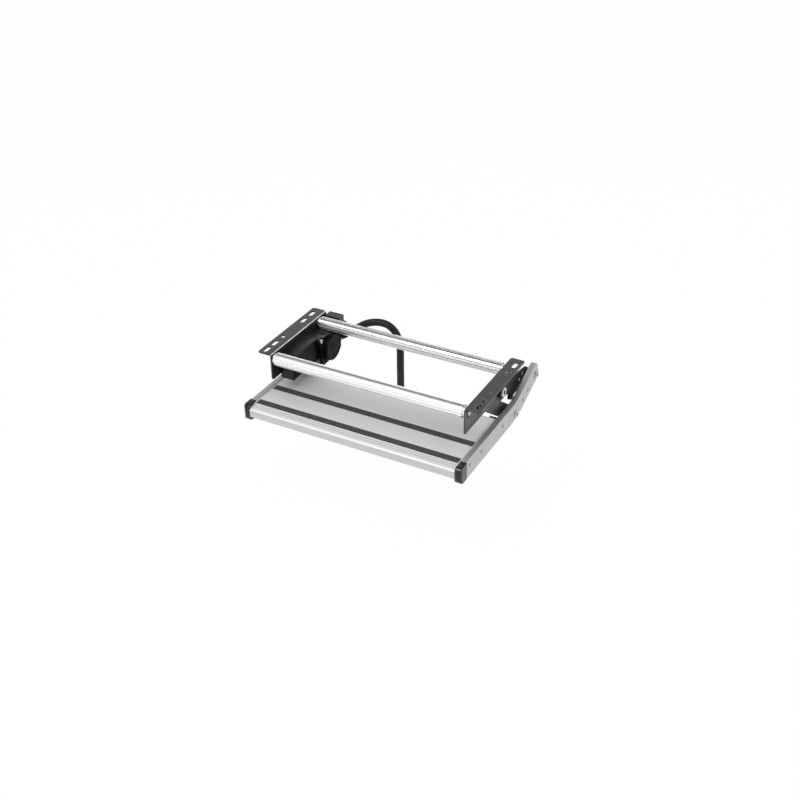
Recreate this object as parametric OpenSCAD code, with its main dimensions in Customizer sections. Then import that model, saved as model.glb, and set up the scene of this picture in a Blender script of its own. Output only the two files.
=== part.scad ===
// Motor-driven pull-out entrance step for a caravan, shown stowed under the floor.
// Millimetres. X runs across the vehicle door, Y towards the vehicle, Z up.
// The origin lies on the mounting plane, midway between the two round locating holes.

/* [Frame] */
// Clear width between the two bracket webs
frame_w = 490; // [420:1:640]
// Thickness of the folded bracket plate
plate_t = 3; // [2:0.5:4]
// Length of a bracket, front to back
bracket_l = 243; // [236:1:280]
// How far a bracket reaches ahead of its locating hole
bracket_lead = 87; // [84:1:100]
// Width of a bracket's flange, web included
flange_w = 37; // [34:1:50]
// Depth of a bracket's web along its front half
web_h = 67; // [60:1:74]
// Depth of a bracket's web round the rear pivot
web_rear_h = 88; // [84:1:95]
// Radius of the bracket's plate corners
plate_r = 6; // [3:0.5:9]

/* [Mounting holes] */
// Diameter of the locating holes and width of the slots
hole_d = 10.5; // [8:0.5:13]
// Length of a slot, end to end
slot_l = 24; // [16:1:28]
// Distance of the hole line from the web's inner face
hole_line = 23.5; // [20:0.5:26]
// Distance of the foremost slots ahead of the locating holes
slot_lead_far = 67; // [62:0.5:70]
// Distance of the second slots ahead of the locating holes
slot_lead_near = 34.5; // [30:0.5:36]
// Distance of the nearer rear slots ahead of the bracket's rear edge
slot_inset_near = 66; // [60:0.5:80]
// Distance of the rearmost slots ahead of the bracket's rear edge
slot_inset_far = 28; // [20:0.5:31]

/* [Cross tubes] */
// Outside diameter of the two cross tubes
tube_d = 31; // [25:0.5:32]
// Wall of the cross tubes, outside the flutes
tube_wall = 3.5; // [3:0.1:5]
// Depth of the tube axes below the mounting plane
tube_drop = 16.5; // [16.5:0.5:18]
// Distance of the front tube ahead of the locating holes
front_tube_lead = 72; // [70:0.5:76]
// Distance of the rear tube ahead of the bracket's rear edge
rear_tube_inset = 31; // [28:0.5:32]
// Number of flutes round a tube
flute_n = 12; // [6:1:16]
// Radius of a flute
flute_r = 1.4; // [0.6:0.1:1.8]
// Radius of the wider flute that marks a tube's upper front
mark_r = 2.2; // [1.8:0.1:2.4]
// Length of the threaded plug in each tube end
plug_l = 30; // [20:1:45]
// Length of the plug's collar, between a tube's end and a web
collar_l = 6; // [4:0.5:10]
// Diameter of the screws that hold the tubes
tube_screw_d = 8; // [6:1:10]
// Diameter of a tube screw's head
tube_screw_head_d = 13; // [12:0.5:16]

/* [Linkage] */
// Distance of the rear frame pivot ahead of the bracket's rear edge
rear_pivot_inset = 52; // [50:0.5:56]
// Depth of the rear frame pivot
rear_pivot_drop = 62; // [60:0.5:64]
// Distance between the frame pivots, front to back
pivot_span = 116; // [112:0.5:120]
// Depth of the front frame pivot
front_pivot_drop = 24; // [23:0.5:28]
// Reach of a rear link behind its frame pivot, stowed
rear_link_reach = 142; // [136:0.5:150]
// Fall of a rear link below its frame pivot, stowed
rear_link_fall = 24; // [20:0.5:28]
// Reach of a front link behind its frame pivot, stowed
front_link_reach = 145; // [140:0.5:150]
// Fall of a front link below its frame pivot, stowed
front_link_fall = 108; // [104:0.5:112]
// Thickness of the link plates
link_t = 4; // [3:0.5:5]
// Width of a rear link
rear_link_w = 36; // [32:0.5:40]
// Height of a rear link's middle above its pivots
rear_link_rise = 3; // [0:0.5:6]
// Radius of a rear link's lower end
rear_link_end_r = 12; // [11:0.5:15]
// Length of a rear link's tapered lower end
rear_link_taper = 40; // [30:1:60]
// Width of a front link
front_link_w = 35; // [30:0.5:38]
// Gap between a bracket's web and a link, filled by a washer
link_gap = 1.5; // [1:0.1:2.5]
// Diameter of the pivot bolts
pivot_d = 12; // [8:0.5:14]
// Diameter of a frame pivot's head
pivot_head_d = 22.5; // [20:0.5:28]
// Thickness of a frame pivot's head
pivot_head_t = 2.5; // [2.5:0.5:4]
// Wall of the bushes in the links
bush_wall = 1.5; // [1:0.1:2]
// Diameter of the two rivet heads on a rear link
rivet_head_d = 9; // [7:0.5:11]
// Radius of the rubber stop under a rear link
stop_r = 6; // [5.5:0.5:8]

/* [Tread] */
// Height of the tread's top above the front links' lower pivots
deck_above_pivot = 29; // [27:0.5:31]
// Distance of the tread's rear edge ahead of those pivots
deck_to_pivot = 81; // [76:0.5:90]
// Depth of the tread, front to back
deck_depth = 216; // [190:1:260]
// Thickness of the tread's profile
deck_t = 29; // [26:0.5:32]
// Wall of the tread's profile
deck_wall = 2.5; // [2:0.1:3.5]
// Number of cells in the tread's profile
deck_cells = 5; // [4:1:6]
// Depth of the sloping nose, front to back
nose_d = 23; // [18:0.5:30]
// Fall of the nose from the tread's top to its front face
nose_fall = 6; // [4:0.5:9]
// Number of fine ribs on the nose
nose_ribs = 2; // [1:1:3]
// Width of a grip strip
strip_w = 18; // [12:0.5:22]
// Distance of a grip strip's end from the arm beside it
strip_inset = 3.5; // [1:0.5:60]
// Thickness of a grip strip
strip_t = 1.6; // [1.2:0.1:2]
// Depth of the groove that holds a grip strip
strip_groove = 1; // [0.6:0.1:1.1]
// Distance between the two grip strips, front edge to front edge
strip_pitch = 70; // [50:1:90]

/* [Arms] */
// Thickness of an arm
arm_t = 13; // [10:0.5:16]
// Height of an arm's section
arm_h = 46.5; // [44:0.5:50]
// Height of an arm's top above the tread
arm_proud = 3; // [1:0.5:4]
// Gap between a link and an arm, filled by a spacer
arm_gap = 8.5; // [8:0.5:12]
// Bend radius of an arm's middle line
arm_bend_r = 160; // [140:1:180]
// Distance of the bend's start ahead of the front links' lower pivots
bend_lead = 28; // [22:0.5:34]
// Distance of the rear pivot below the arm's middle line
arm_pivot_off = 8; // [4:0.5:9]
// Length of an arm past its rear pivot
arm_tail = 15; // [14:0.5:22]
// Diameter of the arms' pivot screw heads
arm_pivot_head_d = 19.5; // [16:0.5:21]
// Height of the arms' pivot screw heads
arm_pivot_head_t = 3.5; // [2.5:0.5:4.5]
// Diameter of the arms' small screws
arm_screw_d = 5; // [4:0.5:6]
// Diameter of the small screws' heads
arm_screw_head_d = 8; // [7:0.5:10]
// Length of an end cap ahead of the arm's front end
cap_l = 33; // [28:0.5:40]
// How far an end cap stands above the arm's top
cap_proud = 0.4; // [0.2:0.1:1.5]
// Radius of an end cap's lower front corner
cap_r = 18; // [12:0.5:20]
// Radius of an end cap's upper front corner
cap_top_r = 15; // [10:0.5:18]
// Thickness of the steel plate behind an arm's pivots
pivot_plate_t = 3; // [2:0.5:4]

/* [Gearmotor] */
// Radius of the round worm gear case
case_r = 34; // [32:0.5:34.5]
// Length of the gear case from the bracket to its cap
case_l = 42; // [40:0.5:46]
// Thickness of the gear case's cap
case_cap_t = 9.5; // [6:0.5:11]
// Wall of the gear case
case_wall = 4; // [3:0.5:5]
// Distance between the worm's axis and the worm wheel's axis
worm_centre = 20; // [19.5:0.1:20.5]
// Number of teeth on the worm wheel
wheel_teeth = 34; // [30:1:40]
// Face width of the worm wheel
wheel_w = 11; // [8:0.5:13]
// Radius of the worm over its thread
worm_r = 4.8; // [4.2:0.1:5]
// Length of the worm
worm_l = 36; // [28:1:40]
// Diameter of the output shaft
shaft_d = 16; // [14:0.5:18]
// Diameter of the motor shaft
motor_shaft_d = 5; // [4:0.5:6]
// Width of the motor cover, from the bracket's web
cover_w = 33; // [33:0.5:36]
// Wall of the motor cover
cover_wall = 2; // [1.5:0.1:2.4]
// Distance of the motor cover's front face ahead of the rear pivot
cover_lead = 156; // [150:0.5:162]
// Radius of the motor cover's arched top
cover_arch_r = 300; // [260:1:340]
// Height of the motor cover's top above the rear pivot
cover_top = 42; // [41:0.5:44]
// Depth of the motor cover's base below the rear pivot
cover_base = 17; // [14:0.5:19]
// Radius of the motor can
can_r = 13; // [11.5:0.5:13]
// Length of the motor can
can_l = 80; // [70:1:84]
// Thickness of the gear case's mounting flange
flange_t = 8; // [6:0.5:9]

/* [Control box] */
// Width of the control box, lid included
box_w = 40; // [36:0.5:44]
// Depth of the control box, front to back
box_d = 21; // [20:0.5:24]
// Height of the control box
box_h = 63; // [58:0.5:64]
// Wall of the control box
box_wall = 2; // [1.6:0.1:2.5]
// Width of the control box's lid
box_lid_w = 13; // [10:0.5:15]
// Gap between the bracket's web and the box, filled by the lid's feet
box_gap = 6; // [4:0.5:9]

/* [Cable] */
// Outside diameter of the cable's sleeve
cable_d = 18; // [14:0.5:18]
// Length of the cable gland outside the box
gland_l = 14; // [12:0.5:18]
// Length of the connector on the cable's end
connector_l = 46; // [36:1:60]

/* [Hidden] */
$fn = 64;
// Static seat clearance, running clearance and the gap between parts that pass each other
seat_gap = 0.02;
run_gap = 0.05;
pass_gap = 0.3;
// A cut that runs past a face
over = 1;

// Layers across the step, from the middle outwards, on the right-hand side
web_in = frame_w/2;
web_out = web_in + plate_t;
link_in = web_out + link_gap;
link_out = link_in + link_t;
arm_in = link_out + arm_gap;
arm_out = arm_in + arm_t;
strip_l = 2*(arm_in - strip_inset);
spacer_in = link_out + pass_gap;

// Ends of a bracket, and pivots in the side view as [Y, Z]
bracket_front = -bracket_lead;
bracket_back = bracket_front + bracket_l;
rear_pivot = [bracket_back - rear_pivot_inset, -rear_pivot_drop];
front_pivot = [rear_pivot[0] - pivot_span, -front_pivot_drop];
rear_arm_pivot = rear_pivot + [rear_link_reach, -rear_link_fall];
front_arm_pivot = front_pivot + [front_link_reach, -front_link_fall];
arm_pivots = [rear_arm_pivot, front_arm_pivot];
pivot_r = pivot_d/2;
bush_r = pivot_r + run_gap + bush_wall;
nut_af = pivot_d*1.6;
nut_t = pivot_d*0.5;
pivot_key = 10;
pivot_key_d = 2;
washer_wall = 6;
spacer_wall = 4;

// Bracket
web_ear_lead = 20;
web_ear_r = 14;
flange_out = web_in + flange_w;
hole_x = web_in + hole_line;
slot_ys = [-slot_lead_far, -slot_lead_near, bracket_back - slot_inset_near, bracket_back - slot_inset_far];
dimple = [-72, -47];
dimple_d = 10;
dimple_t = 1.2;
drain_hole = [-72, -28];
drain_hole_d = 8;

// Tubes
front_tube_y = -front_tube_lead;
tube_case_gap = 0.5;
tube_reach = case_r + tube_d/2 + tube_case_gap;
tube_behind = sqrt(max(0, pow(tube_reach, 2) - pow(rear_pivot_drop - tube_drop, 2)));
rear_tube_y = max(bracket_back - rear_tube_inset, rear_pivot[0] + tube_behind);
front_mark = 100;
rear_mark = 117;
tube_bore_r = tube_d/2 - tube_wall;
tube_end = web_in - collar_l;
collar_r = tube_bore_r + 1;
screw_short = 2;
tube_screw_head_t = 4;
tube_screw_key_d = 2.5;
tube_screw_key = 5;

// Tread
deck_top = front_arm_pivot[1] + deck_above_pivot;
deck_base = deck_top - deck_t;
deck_rear = front_arm_pivot[0] - deck_to_pivot;
deck_front = deck_rear - deck_depth;
nose_top_y = deck_front + nose_d;
nose_r = 4;
rib_r = 0.9;
rib_share = 0.25;
strip_ys = [nose_top_y, nose_top_y + strip_pitch];
port_r = 4.5;

// Arms
cap_lead = 3.5;
arm_top = deck_top + arm_proud;
arm_base = arm_top - arm_h;
arm_mid = (arm_top + arm_base)/2;
cap_front = deck_front - cap_lead;
arm_front = cap_front + cap_l;
bend_y = front_arm_pivot[0] - bend_lead;
bend_c = [bend_y, arm_mid + arm_bend_r];
to_pivot = rear_arm_pivot - bend_c;
arm_rise = atan2(to_pivot[1], to_pivot[0]) - acos((arm_bend_r + arm_pivot_off)/norm(to_pivot)) + 90;
arm_dir = [cos(arm_rise), sin(arm_rise)];
arm_up = [-sin(arm_rise), cos(arm_rise)];
bend_end = bend_c + arm_bend_r*[sin(arm_rise), -cos(arm_rise)];
tail_l = (rear_arm_pivot - bend_end)*arm_dir + arm_tail;
tail_r = 10;
cap_lip = 2.5;
cap_flare = 3;
cap_out = arm_out + cap_flare;
cap_side_r = (arm_t + cap_lip + cap_flare)/2;
cap_lift = 3.5;
cap_plug_l = 14;
cap_plug_wall = 4;
rear_screw_runs = [48, 79];
rear_screws = [for (s = rear_screw_runs) rear_arm_pivot - s*arm_dir];
pivot_plate_w = 26;
arm_pivot_key = 7.2;
arm_pivot_key_d = 2.2;
screw_head_t = 1.5;
screw_key_d = 0.8;
screw_key = arm_screw_d/2;
deck_screw_l = 14;
deck_screw_lead = 52;
deck_screw_z = deck_base + deck_t/2 - 3;
deck_screws = [[(deck_front + deck_rear)/2, deck_screw_z], [deck_front + deck_screw_lead, deck_screw_z]];
port_web = 2.5;
buffer_l = 14;
buffer_w = 22;
buffer_drop = 4;
buffer_r = 2;
buffer_screw = [deck_rear + 9, arm_mid];

// Rear link details, measured along the link from its frame pivot
link_dir = [rear_link_reach, -rear_link_fall]/norm([rear_link_reach, rear_link_fall]);
link_up = [-link_dir[1], link_dir[0]];
link_len = norm([rear_link_reach, rear_link_fall]);
function on_link(s, n) = rear_pivot + s*link_dir + n*link_up;
high_rivet_run = 35;
high_rivet_rise = 10;
low_rivet_run = 50;
low_rivet_fall = 2;
high_rivet = on_link(link_len - high_rivet_run, high_rivet_rise);
low_rivet = on_link(link_len - low_rivet_run, -low_rivet_fall);
rivets = [high_rivet, low_rivet];
rivet_r = 2.5;
rivet_head_t = 1.5;
stop_run = 46;
stop_fall = 13;
stop_at = on_link(stop_run, rear_link_rise - rear_link_w/2 - stop_fall);
stop_root = on_link(stop_run, rear_link_rise);
stop_lobe_r = stop_r + 1.5;
shoulder_r = 6;
shoulder_lead = 18;
stop_len = 7;
stop_nut_af = 9;
stop_nut_t = 1.2;
stop_stud_r = 2;

// Gearmotor, on the left-hand bracket
motor_x = -(web_in - cover_w/2);
worm_z = rear_pivot[1] + worm_centre;
case_end = -(web_in - case_l);
cavity_floor = -(web_in - 7);
wheel_r = worm_centre - worm_r - 0.5;
wheel_root_r = wheel_r - 2;
shaft_r = shaft_d/2;
shaft_bush_r = shaft_r + 3;
spigot_r = 6;
spigot_l = 2;
spigot_wall = 4;
shaft_back = 5;
seal_r = shaft_bush_r + 3;
seal_t = 3;
drive_thread_l = 14;
drive_thread_clear = 2;
block_r = 10;
bearing_r = 7.5;
bearing_w = 6;
worm_bore_r = worm_r + 1.2;
block_wall = 4;
shaft_short = 0.5;
block_lead = 34;
block_tail = 33;
block_front = rear_pivot[0] - block_lead;
block_back = rear_pivot[0] + block_tail;
front_ear_lead = 39;
front_ear_rise = 32;
low_ear_lead = 31;
low_ear_fall = 27;
rear_ear_tail = 37;
rear_ear_fall = 18;
ear_front = rear_pivot + [-front_ear_lead, front_ear_rise];
ear_low = rear_pivot + [-low_ear_lead, -low_ear_fall];
ear_rear = rear_pivot + [rear_ear_tail, -rear_ear_fall];
ear_r = 9;
gear_bolt_r = 3;
gear_bolt_head = 10;
gear_bolt_head_t = 4.5;
ear_step = 4.5;
boss_r = gear_bolt_r + 2.5;
cover_front = rear_pivot[0] - cover_lead;
cover_inner = -(web_in - cover_w);
cover_apex_lead = 72;
cover_apex_y = rear_pivot[0] - cover_apex_lead;
cover_arch_z = rear_pivot[1] + cover_top - cover_arch_r;
cover_base_z = rear_pivot[1] - cover_base;
cover_corner_r = 3;
can_lead = 20;
can_back = block_front - can_lead;
can_front = can_back - can_l;
can_wall = 1.5;
magnet_t = 3;
magnet_gap = 8;
bell_l = 12;
bell_wall = 3;
bell_lip = 4;
bell_room = 2;
bell_r = can_r - 3;
neck_r = 6;
lamination_r = can_r - can_wall - magnet_t - 0.5;
core_l = 38;
core_mid = (can_front + can_back)/2 + 4;
commutator_r = 5;
bell_bore_r = commutator_r + bell_room;
commutator_l = 12;

// Control box, behind the rear tube
box_left = -(web_in - box_gap);
box_right = box_left + box_w;
box_clear = 1.5;
box_front = max(rear_tube_y + tube_d/2, rear_pivot[0] + case_r) + box_clear;
box_back = box_front + box_d;
box_top = -3;
box_low = box_top - box_h;
lid_seam = box_left + box_lid_w;
seam_gap = 0.4;
lid_lip = 6;
box_corner_r = 1.5;
foot_y = (box_front + bracket_back)/2;
foot_zs = [-16, -38];
foot_d = 12;
box_screw_r = 2;
box_screw_head_r = 4;
box_screw_head_t = 1.2;
board_t = 1.6;

// Cable route from the box's right face, straight out of the tilted gland, over an arch and down
cable_r = cable_d/2;
cable_from = [box_right, (box_front + box_back)/2, box_top];
cable_route = [
    [11, 0.5, -43.5], [22, 0.5, -36], [33, 1.5, -28], [45, 2.5, -19.5], [57, 4.5, -11],
    [70, 6.5, -4], [83, 8.5, 0.5], [98, 10.5, 3], [112, 12, 2.5], [125, 13, -1.5],
    [136, 14, -10], [144, 14.5, -21], [149, 14.5, -34.5], [152, 14.5, -49.5], [153, 14.5, -66],
    [153, 14.5, -88], [153, 14.5, -112], [153, 14.5, -142], [153, 14.5, -172], [153, 14.5, -202],
    [153, 14.5, -237], [153, 14.5, -272]
];
cable_pts = [for (p = cable_route) cable_from + p];
cable_sides = 10;
gland_tilt = 34;
gland_r = cable_r + 1.8;
gland_bore_r = cable_r - 2;
gland_reach = 12;
connector_r = cable_r + 4;

// Side-view outlines are drawn with Y across and Z up, then given a thickness along X
module along_x(x0, x1) {
    translate([x0, 0, 0]) rotate([90, 0, 90]) linear_extrude(x1 - x0) children();
}

module rod_x(x0, x1, at, r) {
    translate([x0, at[0], at[1]]) rotate([0, 90, 0]) cylinder(r = r, h = x1 - x0);
}

module rod_y(y0, y1, x, z, r) {
    translate([x, y0, z]) rotate([-90, 0, 0]) cylinder(r = r, h = y1 - y0);
}

// Hexagon prism along X, across flats af
module hex_x(x0, x1, at, af) {
    translate([x0, at[0], at[1]]) rotate([0, 90, 0]) cylinder(d = af/cos(30), h = x1 - x0, $fn = 6);
}

module left_side() {
    mirror([1, 0, 0]) children();
}

module both_sides() {
    children();
    left_side() children();
}

module bar(p, q, w) {
    d = q - p;
    translate(p) rotate(atan2(d[1], d[0])) {
        circle(d = w);
        translate([norm(d), 0]) circle(d = w);
        translate([0, -w/2]) square([norm(d), w]);
    }
}

module rounded(x0, y0, x1, y1, r) {
    translate([x0 + r, y0]) square([x1 - x0 - 2*r, y1 - y0]);
    translate([x0, y0 + r]) square([x1 - x0, y1 - y0 - 2*r]);
    for (x = [x0 + r, x1 - r], y = [y0 + r, y1 - r]) translate([x, y]) circle(r = r);
}

// Bracket, right-hand side
module web_outline() {
    rounded(bracket_front, -web_h, bracket_back, 0, plate_r);
    translate([bracket_front, -web_h/2]) square([bracket_l, web_h/2]);
    rounded(rear_pivot[0] - web_ear_lead, -web_rear_h, bracket_back, -plate_t, web_ear_r);
}

module flange_outline() {
    translate([web_in, bracket_front]) square([flange_w - plate_r, bracket_l]);
    translate([web_in, bracket_front + plate_r]) square([flange_w, bracket_l - 2*plate_r]);
    for (y = [bracket_front + plate_r, bracket_back - plate_r]) {
        translate([flange_out - plate_r, y]) circle(r = plate_r);
    }
}

module slot_outline(l, w) {
    for (s = [-1, 1]) translate([0, s*(l - w)/2]) circle(d = w);
    square([w, l - w], center = true);
}

module bracket() {
    difference() {
        union() {
            along_x(web_in, web_out) web_outline();
            translate([0, 0, -plate_t]) linear_extrude(plate_t) flange_outline();
        }
        translate([hole_x, 0, -plate_t - over]) cylinder(d = hole_d, h = plate_t + 2*over);
        translate([hole_x, 0, -plate_t - over]) linear_extrude(plate_t + 2*over) {
            for (y = slot_ys) translate([0, y]) slot_outline(slot_l, hole_d);
        }
        for (y = [front_tube_y, rear_tube_y]) {
            rod_x(web_in - over, web_out + over, [y, -tube_drop], tube_screw_d/2 + seat_gap);
        }
        rod_x(web_in - over, web_out + over, front_pivot, pivot_r + seat_gap);
    }
}

module left_bracket() color([0.16, 0.16, 0.17]) difference() {
    left_side() bracket();
    rod_x(-web_out - over, -web_in + over, rear_pivot, shaft_bush_r + seat_gap);
    for (p = [ear_front, ear_rear]) rod_x(-web_out - over, -web_in + over, p, gear_bolt_r + seat_gap);
    for (z = foot_zs) rod_x(-web_out - over, -web_in + over, [foot_y, z], box_screw_r + seat_gap);
    rod_x(-web_in - dimple_t, -web_in + over, dimple, dimple_d/2);
}

module right_bracket() color([0.16, 0.16, 0.17]) difference() {
    bracket();
    rod_x(web_in - over, web_out + over, rear_pivot, pivot_r + seat_gap);
    rod_x(web_in - over, web_out + over, drain_hole, drain_hole_d/2);
}

// Cross tubes
module cross_tube(y, mark) {
    difference() {
        rod_x(-tube_end, tube_end, [y, -tube_drop], tube_d/2);
        rod_x(-web_in - over, web_in + over, [y, -tube_drop], tube_bore_r);
        for (i = [0:flute_n - 1]) {
            a = mark + 360*i/flute_n;
            at = [y + tube_d/2*cos(a), -tube_drop + tube_d/2*sin(a)];
            rod_x(-web_in - over, web_in + over, at, i == 0 ? mark_r : flute_r);
        }
    }
}

module front_tube() color([0.86, 0.87, 0.88]) cross_tube(front_tube_y, front_mark);

module rear_tube() color([0.86, 0.87, 0.88]) cross_tube(rear_tube_y, rear_mark);

module tube_plugs() color([0.7, 0.71, 0.72]) both_sides() for (y = [front_tube_y, rear_tube_y]) {
    difference() {
        union() {
            rod_x(web_in - plug_l, web_in, [y, -tube_drop], tube_bore_r - seat_gap);
            rod_x(tube_end, web_in, [y, -tube_drop], collar_r);
        }
        rod_x(web_in - plug_l - over, web_in + over, [y, -tube_drop], tube_screw_d/2 + seat_gap);
    }
}

module tube_screws() color([0.75, 0.75, 0.74]) both_sides() for (y = [front_tube_y, rear_tube_y]) {
    at = [y, -tube_drop];
    head_end = web_out + tube_screw_head_t;
    difference() {
        union() {
            rod_x(web_in - plug_l + screw_short, web_out + tube_screw_head_t/2, at, tube_screw_d/2);
            rod_x(web_out, head_end, at, tube_screw_head_d/2);
        }
        hex_x(head_end - tube_screw_key_d, head_end + over, at, tube_screw_key);
    }
}

// Frame pivots, put in from outside: pins riveted flush into the webs, and one bolt with a nut
module frame_pivot(at, x0) {
    difference() {
        union() {
            rod_x(x0, spacer_in + over, at, pivot_r);
            rod_x(spacer_in, spacer_in + pivot_head_t, at, pivot_head_d/2);
        }
        hex_x(spacer_in + pivot_head_t - pivot_key_d, spacer_in + pivot_head_t + over, at, pivot_key);
    }
}

module front_pivot_pins() color([0.75, 0.75, 0.74]) both_sides() frame_pivot(front_pivot, web_in);

module rear_pivot_bolt() color([0.75, 0.75, 0.74]) frame_pivot(rear_pivot, web_in - nut_t - 2*over);

module pivot_nut(x0, x1, at) {
    difference() {
        hex_x(x0, x1, at, nut_af);
        rod_x(x0 - over, x1 + over, at, pivot_r + seat_gap);
    }
}

module rear_pivot_nut() color([0.7, 0.7, 0.69]) pivot_nut(web_in - nut_t, web_in, rear_pivot);

module link_washer(at, bore_r) {
    difference() {
        rod_x(web_out, link_in - pass_gap, at, bore_r + washer_wall);
        rod_x(web_out - over, link_in, at, bore_r);
    }
}

module link_washers() color([0.82, 0.8, 0.72]) {
    both_sides() link_washer(front_pivot, pivot_r + seat_gap);
    link_washer(rear_pivot, pivot_r + seat_gap);
}

// Links
module front_link() {
    along_x(link_in, link_out) difference() {
        bar(front_pivot, front_arm_pivot, front_link_w);
        for (p = [front_pivot, front_arm_pivot]) translate(p) circle(r = bush_r + seat_gap);
    }
}

module left_front_link() color([0.2, 0.2, 0.21]) left_side() front_link();

module right_front_link() color([0.2, 0.2, 0.21]) front_link();

module link_bush(at) {
    difference() {
        rod_x(link_in, link_out, at, bush_r);
        rod_x(link_in - over, link_out + over, at, pivot_r + run_gap);
    }
}

module front_link_bushes() color([0.65, 0.5, 0.25]) both_sides() {
    for (p = [front_pivot, front_arm_pivot]) link_bush(p);
}

// Outline of a rear link: a wide plate, a tapered lower end, and a lobe that carries the stop
module rear_link_outline() {
    lift = rear_link_rise*link_up;
    taper = on_link(link_len - rear_link_taper, rear_link_rise);
    shoulder = on_link(link_len - shoulder_lead, rear_link_rise + rear_link_w/2 - shoulder_r);
    bar(rear_pivot + lift, taper, rear_link_w);
    hull() {
        translate(taper) circle(d = rear_link_w);
        translate(shoulder) circle(r = shoulder_r);
        translate(rear_arm_pivot) circle(r = rear_link_end_r);
    }
    hull() {
        for (p = [stop_at, stop_root]) translate(p) circle(r = stop_lobe_r);
        translate(rear_arm_pivot) circle(r = rear_link_end_r);
    }
}

module rear_link(pivot_bore_r) {
    difference() {
        along_x(link_in, link_out) difference() {
            rear_link_outline();
            translate(rear_pivot) circle(r = pivot_bore_r);
            translate(rear_arm_pivot) circle(r = pivot_r + seat_gap);
            translate(stop_at) circle(r = stop_stud_r + seat_gap);
            for (p = rivets) translate(p) circle(r = rivet_r + seat_gap);
        }
        for (p = rivets) rod_x(link_out - rivet_head_t, link_out + over, p, rivet_head_d/2 + seat_gap);
    }
}

module left_rear_link() color([0.2, 0.2, 0.21]) left_side() rear_link(shaft_r + seat_gap);

module right_rear_link() color([0.2, 0.2, 0.21]) rear_link(bush_r + seat_gap);

module rear_link_bush() color([0.65, 0.5, 0.25]) link_bush(rear_pivot);

module rear_link_pins() color([0.7, 0.7, 0.69]) both_sides() {
    rod_x(link_in - over, link_out, rear_arm_pivot, pivot_r);
    hex_x(link_in - nut_t, link_in, rear_arm_pivot, nut_af);
}

// Rivet heads lie flush in the link, because an arm's spacer passes over them
module link_rivets() color([0.75, 0.75, 0.74]) both_sides() for (p = rivets) {
    rod_x(link_in, link_out - rivet_head_t/2, p, rivet_r);
    rod_x(link_out - rivet_head_t, link_out, p, rivet_head_d/2);
}

module link_stops() color([0.08, 0.08, 0.08]) both_sides() difference() {
    rod_x(link_out, link_out + stop_len - stop_nut_t, stop_at, stop_r);
    rod_x(link_out - over, link_out + stop_len, stop_at, stop_stud_r + seat_gap);
}

module link_stop_nuts() color([0.75, 0.75, 0.74]) both_sides() {
    rod_x(link_in, link_out + stop_len - stop_nut_t/2, stop_at, stop_stud_r);
    hex_x(link_out + stop_len - stop_nut_t, link_out + stop_len, stop_at, stop_nut_af);
}

// Gearmotor
module gearbox_housing() color([0.1, 0.1, 0.1]) difference() {
    union() {
        difference() {
            union() {
                rod_x(-web_in, case_end, rear_pivot, case_r);
                along_x(case_end - flange_t, case_end) {
                    hull() {
                        translate(rear_pivot) circle(r = case_r, $fn = 48);
                        for (p = [ear_front, ear_low]) translate(p) circle(r = ear_r, $fn = 24);
                    }
                    bar(rear_pivot, ear_rear, 2*ear_r);
                }
            }
            rod_x(cavity_floor, case_end + over, rear_pivot, case_r - case_wall);
        }
        intersection() {
            rod_x(-web_in, case_end - flange_t, rear_pivot, case_r);
            rod_y(block_front, block_back, motor_x, worm_z, block_r);
        }
        rod_y(block_front, rear_pivot[0], motor_x, worm_z, block_r);
        for (p = [ear_front, ear_rear]) rod_x(-web_in, case_end - flange_t + over, p, boss_r);
    }
    rod_y(block_front - over, block_back - block_wall, motor_x, worm_z, worm_bore_r);
    rod_y(block_front - over, block_front + bearing_w, motor_x, worm_z, bearing_r + seat_gap);
    rod_x(cavity_floor, case_end + over, rear_pivot, wheel_r + over);
    rod_x(-web_in - over, cavity_floor + over, rear_pivot, shaft_bush_r + seat_gap);
    rod_x(cavity_floor - seal_t, cavity_floor + over, rear_pivot, seal_r + seat_gap);
    for (p = [ear_front, ear_rear]) rod_x(-web_in - over, case_end + over, p, gear_bolt_r + seat_gap);
    rod_x(case_end - ear_step, case_end + over, ear_front, ear_r + over);
}

module gearbox_cap() color([0.12, 0.12, 0.12]) difference() {
    union() {
        rod_x(case_end, case_end + case_cap_t, rear_pivot, case_r);
        rod_x(case_end - spigot_wall, case_end + over, rear_pivot, spigot_r + spigot_wall);
    }
    rod_x(case_end - spigot_wall - over, case_end + spigot_l + over, rear_pivot, spigot_r + run_gap);
}

module gearbox_bolt(at, seat) {
    rod_x(-web_out, seat + over, at, gear_bolt_r);
    hex_x(seat, seat + gear_bolt_head_t, at, gear_bolt_head);
}

module gearbox_bolts() color([0.78, 0.78, 0.77]) {
    gearbox_bolt(ear_front, case_end - ear_step);
    gearbox_bolt(ear_rear, case_end);
}

module shaft_bush() color([0.65, 0.5, 0.25]) difference() {
    rod_x(-web_out, cavity_floor - seal_t, rear_pivot, shaft_bush_r);
    rod_x(-web_out - over, cavity_floor, rear_pivot, shaft_r + run_gap);
}

module shaft_seal() color([0.05, 0.05, 0.05]) difference() {
    rod_x(cavity_floor - seal_t, cavity_floor, rear_pivot, seal_r);
    rod_x(cavity_floor - seal_t - over, cavity_floor + over, rear_pivot, shaft_r + run_gap);
}

module worm_bearing(y) {
    difference() {
        rod_y(y, y + bearing_w, motor_x, worm_z, bearing_r);
        rod_y(y - over, y + bearing_w + over, motor_x, worm_z, motor_shaft_d/2 + run_gap);
    }
}

module worm_tail_bearing(y) {
    difference() {
        rod_y(y, y + bearing_w, motor_x, worm_z, worm_bore_r - seat_gap);
        rod_y(y - over, y + bearing_w + over, motor_x, worm_z, motor_shaft_d/2 + run_gap);
    }
}

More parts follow.
